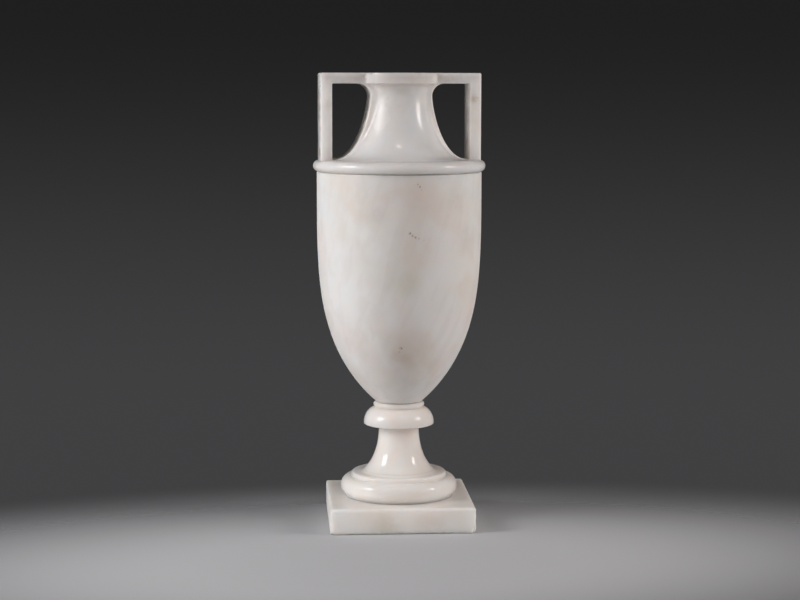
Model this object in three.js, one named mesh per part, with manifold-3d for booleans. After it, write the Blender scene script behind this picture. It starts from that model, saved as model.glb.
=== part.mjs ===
// A tall alabaster vase in four stones: a square plinth, a turned foot, an ovoid cup and a neck carved in
// one with its two square handles. Millimetres, +Z up. The origin is the middle of the plinth's underside,
// and the handles stand along X.

import * as THREE from 'three';
import { mergeVertices } from 'three/addons/utils/BufferGeometryUtils.js';
import Module from 'manifold-3d';

// Turning and bedding
const turnSegments = 52;
const cementBed = 0.3;
const weldDistance = 1e-4;

// Steps along each kind of curve
const curveSteps = 7;
const cupSteps = 12;
const halfRoundSteps = 7;
const cornerSteps = 5;
const ringSteps = 3;
const edgeSteps = 2;

// Plinth: a square slab, set a few degrees off the line of the handles, with one worn lower corner
const plinthSide = 159.5;
const plinthHeight = 28.4;
const plinthArris = 1.2;
const plinthCorner = 2;
const plinthTurn = -4.2;
const cornerWearWidth = 3.2;
const cornerWearHeight = 5.5;

// Foot: a torus, a half-round lip, a hollow-curved stem, a knop and a small ring
const torusRadius = 65.4;
const torusHeight = 22.3;
const lipRadius = 53.5;
const lipRise = 4.5;
const lipRound = 3;
const stemFootRadius = 43.5;
const stemRadius = 22.5;
const stemHeight = 53;
const knopRadius = 39.4;
const knopHeight = 19.7;
const knopBulge = 14.9;
const knopEdgeHeight = 1.6;
const knopEdgeDepth = 2.9;
const ringRadius = 28.6;
const ringHeight = 6.2;
const ringNotch = 0.8;

// Cup: a closed ovoid bowl under an open top
const cupFootRadius = 25.2;
const cupRadius = 91.4;
const cupHeight = 256.6;
const cupWallThickness = 9.5;
const cupFloorHeight = 24;
const cupEdgeRound = 1.3;

// Neck stone: a half-round collar, a groove, a shoulder that sweeps up to the neck, and a flat rim
const collarThickness = 13.1;
const collarProjection = 4.3;
const collarGrooveAngle = 150;
const shoulderInset = 11.9;
const neckRadius = 33.8;
const neckPieceHeight = 108.4;
const rimRadius = 43.8;
const rimThickness = 11.7;
const rimRound = 1;
const mouthRadius = 27;
const shoulderWallThickness = 9;

// Handles: a flat bar from the rim and an upright post on the shoulder, on each side. The shoulder starts
// and the post's outer face stands a little inside the side of the cup.
const postInset = 2.7;
const handleDepth = 37;
const postThickness = 12.5;
const openingCorner = 13.5;
const webProud = 0.5;
const handleArris = 1.2;
const handleCorner = 2;
const handleEmbed = 4.5;

// How full the three long curves are, as exponents of their quarter curves
const stemFullness = { radius: 1.44, height: 2.36 };
const cupFullness = { radius: 1.064, height: 4 };
const shoulderFullness = { radius: 2.55, height: 1.47 };

const alabaster = {
  plinth: { color: 0xdcd6d0, roughness: 0.42, metalness: 0 },
  foot: { color: 0xe4dad0, roughness: 0.32, metalness: 0 },
  cup: { color: 0xe2ddd7, roughness: 0.35, metalness: 0 },
  neck: { color: 0xdddbd9, roughness: 0.33, metalness: 0 },
};

// Outlines are lists of [radius, height] points

function arc(centre, radii, startDegrees, endDegrees, steps) {
  return Array.from({ length: steps + 1 }, (_, i) => {
    const angle = THREE.MathUtils.degToRad(startDegrees + ((endDegrees - startDegrees) * i) / steps);
    return [centre[0] + radii[0] * Math.cos(angle), centre[1] + radii[1] * Math.sin(angle)];
  });
}

// A quarter of a superellipse that leaves its start level and reaches its end upright
function quarterCurve(start, end, fullness, steps) {
  return Array.from({ length: steps + 1 }, (_, i) => {
    const angle = (Math.PI / 2) * (i / steps);
    const across = Math.sin(angle) ** (2 / fullness.radius);
    const up = i === steps ? 0 : Math.cos(angle) ** (2 / fullness.height);
    return [start[0] + (end[0] - start[0]) * across, end[1] + (start[1] - end[1]) * up];
  });
}

// The same outline moved sideways by a distance, to the left of its direction of travel
function offsetOutline(points, distance) {
  return points.map((point, i) => {
    const before = points[Math.max(i - 1, 0)];
    const after = points[Math.min(i + 1, points.length - 1)];
    const along = [after[0] - before[0], after[1] - before[1]];
    const length = Math.hypot(along[0], along[1]);
    return [point[0] - (distance * along[1]) / length, point[1] + (distance * along[0]) / length];
  });
}

// The part of a rising outline above a height, starting exactly at it
function outlineAbove(points, height) {
  const first = points.findIndex((point) => point[1] > height);
  const below = points[first - 1];
  const above = points[first];
  const share = (height - below[1]) / (above[1] - below[1]);
  return [[below[0] + (above[0] - below[0]) * share, height], ...points.slice(first)];
}

// The part of a rising, narrowing outline inside a radius, starting exactly at it
function outlineWithin(points, radius) {
  const first = points.findIndex((point) => point[0] < radius);
  const outside = points[first - 1];
  const inside = points[first];
  const share = (outside[0] - radius) / (outside[0] - inside[0]);
  return [[radius, outside[1] + (inside[1] - outside[1]) * share], ...points.slice(first)];
}

function turned(outline) {
  const points = outline.map((point) => new THREE.Vector2(point[0], point[1]));
  const geometry = new THREE.LatheGeometry(points, turnSegments);
  geometry.rotateX(Math.PI / 2);
  return geometry;
}

const wasm = await Module();
wasm.setup();

function solid(geometry) {
  const bare = geometry.clone();
  bare.deleteAttribute('normal');
  bare.deleteAttribute('uv');
  const merged = mergeVertices(bare, weldDistance);
  return new wasm.Manifold(new wasm.Mesh({
    numProp: 3,
    vertProperties: new Float32Array(merged.attributes.position.array),
    triVerts: new Uint32Array(merged.index.array),
  }));
}

function geometryOf(manifold) {
  const mesh = manifold.getMesh();
  const geometry = new THREE.BufferGeometry();
  geometry.setAttribute('position', new THREE.BufferAttribute(mesh.vertProperties, 3));
  geometry.setIndex(new THREE.BufferAttribute(mesh.triVerts, 1));
  geometry.computeVertexNormals();
  return geometry;
}

function stone(name, geometry, base) {
  const mesh = new THREE.Mesh(geometry, new THREE.MeshStandardMaterial(alabaster[name]));
  mesh.name = name;
  mesh.position.z = base;
  return mesh;
}

function makePlinth() {
  const half = plinthSide / 2 - plinthCorner;
  const outline = new THREE.Shape();
  outline.absarc(half, half, plinthCorner, 0, Math.PI / 2);
  outline.absarc(-half, half, plinthCorner, Math.PI / 2, Math.PI);
  outline.absarc(-half, -half, plinthCorner, Math.PI, 1.5 * Math.PI);
  outline.absarc(half, -half, plinthCorner, 1.5 * Math.PI, 2 * Math.PI);
  const slab = new THREE.ExtrudeGeometry(outline, {
    depth: plinthHeight - 2 * plinthArris,
    bevelThickness: plinthArris,
    bevelSize: plinthArris,
    bevelOffset: -plinthArris,
    bevelSegments: edgeSteps,
    curveSegments: edgeSteps,
  });
  slab.translate(0, 0, plinthArris);
  const wear = new THREE.OctahedronGeometry(1);
  wear.scale(cornerWearWidth, cornerWearWidth, cornerWearHeight);
  wear.translate(plinthSide / 2, -plinthSide / 2, 0);
  const plinth = stone('plinth', geometryOf(solid(slab).subtract(solid(wear))), 0);
  plinth.rotation.z = THREE.MathUtils.degToRad(plinthTurn);
  return plinth;
}

function footOutline() {
  const tube = torusHeight / 2;
  const tubeCentre = torusRadius - tube;
  const torusEnd = THREE.MathUtils.radToDeg(Math.acos((lipRadius - tubeCentre) / tube));
  const lipTop = torusHeight + lipRise;
  const knopBase = lipTop + stemHeight;
  const knopTop = knopBase + knopHeight;
  const footTop = knopTop + ringHeight;
  const notchRadius = ringRadius - ringNotch;
  const bulgeCentre = knopRadius - knopBulge;
  const bulgeEnd = Math.acos((notchRadius - bulgeCentre) / knopBulge);
  const bulgeHeight = (knopHeight - knopEdgeHeight) / Math.sin(bulgeEnd);
  const ringTube = ringHeight / 2;
  const ringStart = -THREE.MathUtils.radToDeg(Math.acos((ringTube - ringNotch) / ringTube));
  return [
    [0, 0],
    ...arc([tubeCentre, tube], [tube, tube], -90, torusEnd, halfRoundSteps),
    ...arc([lipRadius - lipRound, lipTop - lipRound], [lipRound, lipRound], 0, 90, edgeSteps),
    ...quarterCurve([stemFootRadius, lipTop], [stemRadius, knopBase], stemFullness, curveSteps),
    ...arc(
      [knopRadius - knopEdgeDepth, knopBase + knopEdgeHeight], [knopEdgeDepth, knopEdgeHeight],
      -90, 0, edgeSteps,
    ),
    ...arc(
      [bulgeCentre, knopBase + knopEdgeHeight], [knopBulge, bulgeHeight],
      0, THREE.MathUtils.radToDeg(bulgeEnd), cornerSteps,
    ).slice(1),
    ...arc([ringRadius - ringTube, footTop - ringTube], [ringTube, ringTube], ringStart, 90, ringSteps),
    [0, footTop],
  ];
}

const footHeight = torusHeight + lipRise + stemHeight + knopHeight + ringHeight;

function cupOutline() {
  const edge = cupHeight - cupEdgeRound;
  const outside = quarterCurve([cupFootRadius, 0], [cupRadius, edge], cupFullness, cupSteps);
  const inside = outlineAbove(offsetOutline(outside, cupWallThickness), cupFloorHeight);
  return [
    [0, 0],
    ...outside,
    ...arc([cupRadius - cupEdgeRound, edge], [cupEdgeRound, cupEdgeRound], 0, 90, edgeSteps).slice(1),
    [cupRadius - cupWallThickness, cupHeight],
    ...inside.reverse(),
    [0, cupFloorHeight],
  ];
}

const collarRadius = cupRadius + collarProjection;
const collarTube = collarThickness / 2;
const collarCentre = collarRadius - collarTube;
const shoulderRadius = cupRadius - shoulderInset;
const handleReach = cupRadius - postInset;
const barUnderside = neckPieceHeight - rimThickness;
const neckTop = barUnderside - openingCorner;

function shoulderSweep() {
  return quarterCurve([shoulderRadius, collarThickness], [neckRadius, neckTop], shoulderFullness, curveSteps);
}

function neckOutline() {
  return [
    [0, 0],
    ...arc([collarCentre, collarTube], [collarTube, collarTube], -90, collarGrooveAngle, halfRoundSteps),
    ...shoulderSweep(),
    ...arc([rimRadius, neckTop], [rimRadius - neckRadius, openingCorner], 180, 90, cornerSteps).slice(1),
    ...arc([rimRadius - rimRound, neckPieceHeight - rimRound], [rimRound, rimRound], 0, 90, edgeSteps),
    [0, neckPieceHeight],
  ];
}

// The bore of the neck and the hollow under the shoulder, with a little to spare past both ends
function neckHollow() {
  const spare = 1;
  const under = offsetOutline(shoulderSweep(), shoulderWallThickness).filter((point) => point[0] > mouthRadius);
  const innerEdge = cupRadius - cupWallThickness;
  return [
    [0, -spare],
    [innerEdge, -spare],
    [innerEdge, 0],
    ...under,
    [mouthRadius, neckTop],
    [mouthRadius, neckPieceHeight + spare],
    [0, neckPieceHeight + spare],
  ];
}

// One opening between a post and the neck. It is sawn straight through along the neck's own sweep.
function handleOpening(side) {
  const post = handleReach - postThickness;
  const sweep = outlineWithin(offsetOutline(shoulderSweep(), -webProud), post);
  const corner = sweep.at(-1)[0] + openingCorner;
  const opening = new THREE.Path();
  opening.moveTo(side * post, barUnderside);
  sweep.forEach((point) => opening.lineTo(side * point[0], point[1]));
  const fillet = arc([corner, neckTop], [openingCorner, openingCorner], 180, 90, cornerSteps).slice(1);
  fillet.forEach((point) => opening.lineTo(side * point[0], point[1]));
  opening.closePath();
  return opening;
}

function handleSlab() {
  const foot = collarThickness - handleEmbed;
  const cornerHeight = neckPieceHeight - handleCorner;
  const cornerReach = handleReach - handleCorner;
  const outline = new THREE.Shape();
  outline.moveTo(-handleReach, foot);
  outline.lineTo(handleReach, foot);
  outline.absarc(cornerReach, cornerHeight, handleCorner, 0, Math.PI / 2);
  outline.absarc(-cornerReach, cornerHeight, handleCorner, Math.PI / 2, Math.PI);
  outline.closePath();
  outline.holes.push(handleOpening(-1), handleOpening(1));
  const slab = new THREE.ExtrudeGeometry(outline, {
    depth: handleDepth - 2 * handleArris,
    bevelThickness: handleArris,
    bevelSize: handleArris,
    bevelOffset: -handleArris,
    bevelSegments: edgeSteps,
    curveSegments: edgeSteps,
  });
  slab.rotateX(Math.PI / 2);
  slab.translate(0, handleDepth / 2 - handleArris, 0);
  return slab;
}

function makeNeck(base) {
  const carved = solid(turned(neckOutline())).add(solid(handleSlab()));
  return stone('neck', geometryOf(carved.subtract(solid(turned(neckHollow())))), base);
}

const footBase = plinthHeight + cementBed;
const cupBase = footBase + footHeight + cementBed;
const neckBase = cupBase + cupHeight + cementBed;

const vase = new THREE.Group();
vase.add(
  makePlinth(),
  stone('foot', turned(footOutline()), footBase),
  stone('cup', turned(cupOutline()), cupBase),
  makeNeck(neckBase),
);

export default vase;
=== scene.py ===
"""A tall alabaster vase in four stones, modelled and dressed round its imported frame.

The plinth, the foot, the cup and the neck stone with its two square handles are each carved anew here as a
smooth, worn and clouded stone that stands for the plain solid of the same name. Lengths are in metres, and
in millimetres for chips and for what is laid over the stone's colour.
"""

import logging
import math
import random
from collections.abc import Callable
from dataclasses import dataclass
from enum import Enum
from itertools import pairwise

import bmesh
import bpy
from mathutils import Euler, Matrix, Vector, noise


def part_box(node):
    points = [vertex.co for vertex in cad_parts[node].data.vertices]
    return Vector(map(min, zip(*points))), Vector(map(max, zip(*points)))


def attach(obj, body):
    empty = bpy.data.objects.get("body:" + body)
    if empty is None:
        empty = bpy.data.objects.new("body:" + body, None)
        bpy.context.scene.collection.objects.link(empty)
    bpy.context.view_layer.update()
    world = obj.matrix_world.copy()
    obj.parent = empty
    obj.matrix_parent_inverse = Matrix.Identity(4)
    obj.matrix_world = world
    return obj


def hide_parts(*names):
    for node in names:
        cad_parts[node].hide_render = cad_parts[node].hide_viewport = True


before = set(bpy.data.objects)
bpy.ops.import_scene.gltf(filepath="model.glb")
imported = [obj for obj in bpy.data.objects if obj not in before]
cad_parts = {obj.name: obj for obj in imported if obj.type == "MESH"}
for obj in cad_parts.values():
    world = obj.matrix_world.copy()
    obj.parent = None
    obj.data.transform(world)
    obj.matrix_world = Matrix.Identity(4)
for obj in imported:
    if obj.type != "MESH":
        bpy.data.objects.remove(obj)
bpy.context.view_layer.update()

log = logging.getLogger("vase")

MM = 0.001
WELD = 0.002 * MM

Point = tuple[float, float]
Place = tuple[float, float, float]
Colour = tuple[float, float, float]
Piece = bpy.types.Object


class Side(Enum):
    """The two handles, by the sign of their X."""

    LEFT = -1
    RIGHT = 1


@dataclass(frozen=True)
class Fullness:
    """How full a quarter curve is, as the exponents of its superellipse."""

    radius: float
    height: float


def arc(centre: Point, radii: Point, start: float, end: float, steps: int) -> list[Point]:
    """Gives points along part of an ellipse.

    Args:
        centre: The middle of the ellipse, as radius and height.
        radii: Half the width and half the height of the ellipse.
        start: The angle of the first point in degrees.
        end: The angle of the last point in degrees.
        steps: How many steps lie between them.

    Returns:
        The points from start to end.
    """
    angles = [math.radians(start + (end - start) * i / steps) for i in range(steps + 1)]
    return [(centre[0] + radii[0] * math.cos(a), centre[1] + radii[1] * math.sin(a)) for a in angles]


def evenly(points: list[Point], spacing: float) -> list[Point]:
    """Spreads points evenly along a line of points, with both ends kept.

    Args:
        points: The line.
        spacing: The greatest distance between two new points.

    Returns:
        The new points.
    """
    lengths = [math.dist(a, b) for a, b in pairwise(points)]
    count = max(1, math.ceil(sum(lengths) / spacing))
    stride = sum(lengths) / count
    spread = [points[0]]
    travelled = 0.0
    for (a, b), length in zip(pairwise(points), lengths):
        while len(spread) < count and travelled + length >= stride * len(spread):
            share = (stride * len(spread) - travelled) / length
            spread.append((a[0] + (b[0] - a[0]) * share, a[1] + (b[1] - a[1]) * share))
        travelled += length
    return [*spread, points[-1]]


def quarter_curve(start: Point, end: Point, fullness: Fullness, spacing: float) -> list[Point]:
    """Gives a quarter of a superellipse that leaves its start level and reaches its end upright.

    Args:
        start: The point where the curve runs level.
        end: The point where the curve runs upright.
        fullness: The exponents of the curve.
        spacing: The distance between two points.

    Returns:
        The points from start to end.
    """
    fine = 900
    points = []
    for i in range(fine + 1):
        angle = math.pi / 2 * i / fine
        across = math.sin(angle) ** (2 / fullness.radius)
        up = 0.0 if i == fine else math.cos(angle) ** (2 / fullness.height)
        points.append((start[0] + (end[0] - start[0]) * across, end[1] + (start[1] - end[1]) * up))
    return evenly(points, spacing)


def offset(points: list[Point], distance: float) -> list[Point]:
    """Moves an outline sideways, to the left of its direction of travel.

    Args:
        points: The outline.
        distance: How far each point moves.

    Returns:
        The moved outline.
    """
    moved = []
    for i, point in enumerate(points):
        before = points[max(i - 1, 0)]
        after = points[min(i + 1, len(points) - 1)]
        length = math.dist(before, after)
        along = ((after[0] - before[0]) / length, (after[1] - before[1]) / length)
        moved.append((point[0] - distance * along[1], point[1] + distance * along[0]))
    return moved


def cut_at(points: list[Point], index: int, value: float) -> list[Point]:
    """Gives the part of an outline after it first crosses a radius or a height.

    Args:
        points: The outline.
        index: 0 to cut at a radius, 1 to cut at a height.
        value: The radius or height.

    Returns:
        The outline from exactly that crossing to its end.
    """
    first = next(i for i, (a, b) in enumerate(pairwise(points)) if (a[index] - value) * (b[index] - value) <= 0)
    a, b = points[first], points[first + 1]
    share = (value - a[index]) / (b[index] - a[index])
    crossing = (a[0] + (b[0] - a[0]) * share, a[1] + (b[1] - a[1]) * share)
    return [crossing, *points[first + 1:]]


def rubbing(place: Vector, coarse: float, fine: float) -> float:
    """Gives how hard hands have rubbed at a place, from noise of two widths."""
    return noise.noise(place / coarse) + 0.5 * noise.noise(place / fine)


@dataclass(frozen=True)
class Chip:
    """A small splinter broken out of an edge, in millimetres and degrees."""

    place: Place
    size: Place
    turn: float


class Bench:
    """Blender's own modelling operators, used as by hand."""

    @staticmethod
    def start(name: str) -> Piece:
        """Adds a plane at the origin and welds it to one vertex, ready to be drawn from.

        Args:
            name: The new object's name.

        Returns:
            The object, in edit mode.
        """
        bpy.ops.object.select_all(action="DESELECT")
        bpy.ops.mesh.primitive_plane_add(size=MM, location=(0, 0, 0))
        piece = bpy.context.object
        piece.name = piece.data.name = name
        bpy.ops.object.mode_set(mode="EDIT")
        bpy.ops.mesh.select_mode(type="VERT")
        bpy.ops.mesh.merge(type="CENTER")
        return piece

    @staticmethod
    def draw(points: list[Place]) -> None:
        """Moves the selected vertex to the first point and extrudes it from point to point.

        Args:
            points: The points of the line.
        """
        bpy.ops.transform.translate(value=points[0])
        for a, b in pairwise(points):
            bpy.ops.mesh.extrude_region_move(
                TRANSFORM_OT_translate={"value": (b[0] - a[0], b[1] - a[1], b[2] - a[2])})

    @staticmethod
    def lathe(name: str, outline: list[Point], segments: int) -> Piece:
        """Draws an outline and spins it round the upright axis.

        Args:
            name: The new object's name.
            outline: Points of radius and height, with both ends on the axis.
            segments: How many steps make the full turn.

        Returns:
            The turned object, closed and facing outwards.
        """
        piece = Bench.start(name)
        Bench.draw([(radius, 0.0, height) for radius, height in outline])
        bpy.ops.mesh.select_all(action="SELECT")
        bpy.ops.mesh.spin(steps=segments, angle=math.tau, center=(0, 0, 0), axis=(0, 0, 1))
        Bench.close()
        return piece

    @staticmethod
    def close() -> None:
        """Welds doubles, turns all faces outwards and leaves edit mode."""
        bpy.ops.mesh.select_all(action="SELECT")
        bpy.ops.mesh.remove_doubles(threshold=WELD)
        bpy.ops.mesh.normals_make_consistent(inside=False)
        bpy.ops.object.mode_set(mode="OBJECT")

    @staticmethod
    def pick(piece: Piece) -> None:
        """Makes a piece the only one that is selected, and the active one."""
        bpy.ops.object.select_all(action="DESELECT")
        piece.select_set(True)
        bpy.context.view_layer.objects.active = piece

    @staticmethod
    def select_edges(piece: Piece, wanted: Callable[[bmesh.types.BMEdge], bool]) -> None:
        """Selects the edges of a piece that pass a test, in edit mode.

        Args:
            piece: The object in edit mode.
            wanted: Tells whether an edge is selected.
        """
        bpy.ops.mesh.select_mode(type="EDGE")
        bpy.ops.mesh.select_all(action="DESELECT")
        shape = bmesh.from_edit_mesh(piece.data)
        for edge in shape.edges:
            edge.select_set(wanted(edge))
        bmesh.update_edit_mesh(piece.data)

    @staticmethod
    def apply(piece: Piece, kind: str, **settings: object) -> None:
        """Adds a modifier to a piece and applies it at once.

        Args:
            piece: The object to change.
            kind: The modifier's type.
            settings: The modifier's properties.
        """
        modifier = piece.modifiers.new(kind.lower(), kind)
        for key, value in settings.items():
            setattr(modifier, key, value)
        Bench.pick(piece)
        bpy.ops.object.modifier_apply(modifier=modifier.name)

    @staticmethod
    def combine(piece: Piece, other: Piece, operation: str) -> None:
        """Joins another solid to a piece or cuts it out, and removes the other.

        Args:
            piece: The object that stays.
            other: The object that is joined or cut out.
            operation: UNION or DIFFERENCE.
        """
        Bench.apply(piece, "BOOLEAN", object=other, operation=operation, solver="MANIFOLD")
        bpy.data.meshes.remove(other.data)

    @staticmethod
    def settle(piece: Piece) -> None:
        """Puts a piece's place and turn into its mesh."""
        Bench.pick(piece)
        bpy.ops.object.transform_apply(location=True, rotation=True, scale=True)

    @staticmethod
    def soften(piece: Piece, angle: float) -> None:
        """Shades a piece smooth, with edges sharper than an angle in degrees kept crisp."""
        Bench.pick(piece)
        bpy.ops.object.shade_smooth_by_angle(angle=math.radians(angle))

    @staticmethod
    def uneven(piece: Piece, width: float, depth: float) -> None:
        """Gives a surface the slight hollows of hand polishing.

        Args:
            piece: The object to change.
            width: The size of a hollow.
            depth: The depth of the deepest hollow.
        """
        swell = bpy.data.textures.new(f"{piece.name}_swell", "CLOUDS")
        swell.noise_scale = width
        swell.noise_depth = 1
        Bench.apply(piece, "DISPLACE", texture=swell, texture_coords="LOCAL", strength=depth, mid_level=1.0)
        bpy.data.textures.remove(swell)

    @staticmethod
    def chip(piece: Piece, chips: list[Chip], seed: int) -> None:
        """Breaks splinters out of a piece with rough little rocks.

        Args:
            piece: The object to change.
            chips: The splinters.
            seed: The start of the random roughness.
        """
        rough = random.Random(seed)
        bpy.ops.object.select_all(action="DESELECT")
        rocks = []
        for chip in chips:
            bpy.ops.mesh.primitive_ico_sphere_add(subdivisions=2, radius=1.0,
                                                  location=[value * MM for value in chip.place])
            rock = bpy.context.object
            rock.rotation_euler = Euler((0, 0, math.radians(chip.turn)))
            for vertex in rock.data.vertices:
                vertex.co *= rough.uniform(0.8, 1.1)
            rock.scale = [value * MM for value in chip.size]
            rocks.append(rock)
        for rock in rocks:
            rock.select_set(True)
        bpy.context.view_layer.objects.active = rocks[0]
        bpy.ops.object.join()
        bpy.ops.object.transform_apply(location=True, rotation=True, scale=True)
        Bench.combine(piece, bpy.context.object, "DIFFERENCE")


class Signal:
    """A shader socket that takes part in Python sums."""

    def __init__(self, sheet: "Sheet", socket: bpy.types.NodeSocket) -> None:
        """Keeps the socket and the sheet of nodes that it belongs to."""
        self.sheet = sheet
        self.socket = socket

    def _maths(self, operation: str, first: object, second: object = 0.0) -> "Signal":
        """Adds a Math node for one operation on two values."""
        return self.sheet.node("ShaderNodeMath", {"operation": operation}, {0: first, 1: second})

    def __add__(self, other: object) -> "Signal":
        """self + other."""
        return self._maths("ADD", self, other)

    def __sub__(self, other: object) -> "Signal":
        """self - other."""
        return self._maths("SUBTRACT", self, other)

    def __mul__(self, other: object) -> "Signal":
        """self * other."""
        return self._maths("MULTIPLY", self, other)

    def __radd__(self, other: object) -> "Signal":
        """other + self."""
        return self._maths("ADD", other, self)

    def __rsub__(self, other: object) -> "Signal":
        """other - self."""
        return self._maths("SUBTRACT", other, self)

    def __rmul__(self, other: object) -> "Signal":
        """other * self."""
        return self._maths("MULTIPLY", other, self)

    def __abs__(self) -> "Signal":
        """The value without its sign."""
        return self._maths("ABSOLUTE", self)

    def rise(self, low: float, high: float) -> "Signal":
        """A smooth step from 0 at low to 1 at high, which may be the smaller of the two."""
        return self.sheet.node(
            "ShaderNodeMapRange", {"interpolation_type": "SMOOTHSTEP"},
            {"Value": self, "From Min": low, "From Max": high, "To Min": 0.0, "To Max": 1.0})

    def ramp(self, low: float, high: float) -> "Signal":
        """A smooth step between two lengths in millimetres."""
        return self.rise(low * MM, high * MM)


class Sheet:
    """The nodes of one material."""

    home = "materials"
    end = "ShaderNodeOutputMaterial"
    coordinates = "Object"

    def __init__(self, name: str) -> None:
        """Starts an empty sheet with an output and the coordinates that its patterns follow."""
        self.material = getattr(bpy.data, self.home).new(name)
        self.material.use_nodes = True
        self.material.node_tree.nodes.clear()
        self.output = self.material.node_tree.nodes.new(self.end)
        self.place = self.node("ShaderNodeTexCoord", {}, {}, self.coordinates)

    def show(self, shader: Signal) -> None:
        """Links a shader to the output."""
        self.material.node_tree.links.new(shader.socket, self.output.inputs["Surface"])

    def node(self, kind: str, settings: dict[str, object], values: dict[object, object],
             result: object = 0) -> Signal:
        """Adds a node.

        Args:
            kind: The node's type.
            settings: Its properties, or the stops of its ramp.
            values: Values or links of its sockets, by name, identifier or number.
            result: The output that is wanted, by name, identifier or number.

        Returns:
            That output.
        """
        node = self.material.node_tree.nodes.new(kind)
        for key, value in settings.items():
            setattr(node, key, value)
        for key, value in values.items():
            socket = self._find(node.inputs, key)
            if isinstance(value, Signal):
                self.material.node_tree.links.new(value.socket, socket)
            else:
                socket.default_value = value
        return Signal(self, self._find(node.outputs, result))

    @staticmethod
    def _find(sockets: bpy.types.bpy_prop_collection, key: object) -> bpy.types.NodeSocket:
        """Finds a socket by its number, or by its identifier or name."""
        if isinstance(key, int):
            return sockets[key]
        return next((s for s in sockets if s.identifier == key), None) or sockets[key]

    def noise(self, size: float, detail: float = 2.0, roughness: float = 0.5, shift: Place = (0, 0, 0),
              turn: Place = (0, 0, 0), stretch: Place = (1, 1, 1), distortion: float = 0.0) -> Signal:
        """Adds soft noise on the object's own coordinates.

        Args:
            size: The size of a patch in millimetres.
            detail: How many finer layers there are.
            roughness: How strong the finer layers are.
            shift: Where the pattern starts, in millimetres.
            turn: How the pattern is turned, in degrees.
            stretch: How many times longer a patch is along each turned axis.
            distortion: How much the patches are dragged about.

        Returns:
            Noise from 0 to 1.
        """
        turned = self.node(
            "ShaderNodeMapping", {"vector_type": "TEXTURE"},
            {"Vector": self.place, "Location": [value * MM for value in shift], "Scale": stretch,
             "Rotation": [math.radians(angle) for angle in turn]})
        return self.node("ShaderNodeTexNoise", {"noise_dimensions": "3D"},
                         {"Vector": turned, "Scale": 1 / (size * MM), "Detail": detail, "Roughness": roughness,
                          "Distortion": distortion})

    def mix(self, share: object, first: object, second: object) -> Signal:
        """Mixes two colours.

        Args:
            share: How much of the second colour there is.
            first: A colour.
            second: Another colour.

        Returns:
            The mixed colour.
        """
        ends = [(*c, 1.0) if isinstance(c, tuple) else c for c in (first, second)]
        return self.node("ShaderNodeMix", {"data_type": "RGBA", "clamp_factor": True},
                         {"Factor_Float": share, "A_Color": ends[0], "B_Color": ends[1]}, "Result_Color")

    def near(self, place: Place, radius: float) -> Signal:
        """A soft spot, in millimetres, that is 1 at a place and 0 a radius away."""
        distance = self.node("ShaderNodeVectorMath", {"operation": "DISTANCE"},
                             {0: self.place, 1: [value * MM for value in place]}, "Value")
        return distance.ramp(radius, 0.0)

    def axis(self, name: str) -> Signal:
        """One of the object's own coordinates, by its letter."""
        return self.node("ShaderNodeSeparateXYZ", {}, {0: self.place}, name)

    def bump(self, height: Signal, distance: float, strength: float) -> Signal:
        """Turns a height into a bent normal."""
        return self.node("ShaderNodeBump", {}, {"Height": height, "Distance": distance, "Strength": strength})


class Room(Sheet):
    """The nodes of the room's dim light, which falls off upwards."""

    home = "worlds"
    end = "ShaderNodeOutputWorld"
    coordinates = "Generated"


class Layer:
    """Something laid over the stone's colour."""

    def cover(self, sheet: Sheet) -> Signal:
        """Gives how much of the layer shows, from 0 to 1."""
        raise NotImplementedError

    def over(self, sheet: Sheet, under: object) -> Signal:
        """Lays the layer over a colour.

        Args:
            sheet: The material's nodes.
            under: The colour below.

        Returns:
            The colour with the layer on it.
        """
        return sheet.mix(self.cover(sheet), under, self.colour)


@dataclass(frozen=True)
class Cloud(Layer):
    """Soft patches of one colour in the stone."""

    colour: Colour
    size: float
    amount: float
    low: float = 0.36
    high: float = 0.66
    shift: Place = (0, 0, 0)
    turn: Place = (0, 0, 0)
    stretch: Place = (1, 1, 1)
    detail: float = 1.2

    def cover(self, sheet: Sheet) -> Signal:
        """The patches, from soft noise."""
        patches = sheet.noise(self.size, detail=self.detail, roughness=0.45, shift=self.shift, turn=self.turn,
                              stretch=self.stretch, distortion=0.4)
        return patches.rise(self.low, self.high) * self.amount


@dataclass(frozen=True)
class StainAndLightSpot(Layer):
    """A soft spot of colour round one place, used for stains and tinted patches, and also for painted light and
    painted shade.
    """

    place: Place
    radius: float
    colour: Colour
    amount: float
    grain: float

    def cover(self, sheet: Sheet) -> Signal:
        """The spot, made ragged by noise."""
        ragged = sheet.noise(self.grain).rise(0.15, 0.6)
        return sheet.near(self.place, self.radius) * ragged * self.amount


@dataclass(frozen=True)
class DirtAndShadeBand(Layer):
    """A ragged band round the stone at one height: old dirt settled along a joint or groove, and at the rim a band
    of painted shade.
    """

    height: float
    width: float
    amount: float
    colour: Colour = (0.42, 0.33, 0.21)
    patch: float = 35

    def cover(self, sheet: Sheet) -> Signal:
        """A ragged band round the stone, stronger in some places than in others."""
        ragged = sheet.noise(7, detail=3.0, roughness=0.65)
        distance = abs(sheet.axis("Z") - self.height * MM) + ragged * (self.width * MM)
        patches = sheet.noise(self.patch, detail=1.0, shift=(50, 20, 0)).rise(0.25, 0.65)
        return distance.ramp(1.35 * self.width, 0.3 * self.width) * patches * self.amount


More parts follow.
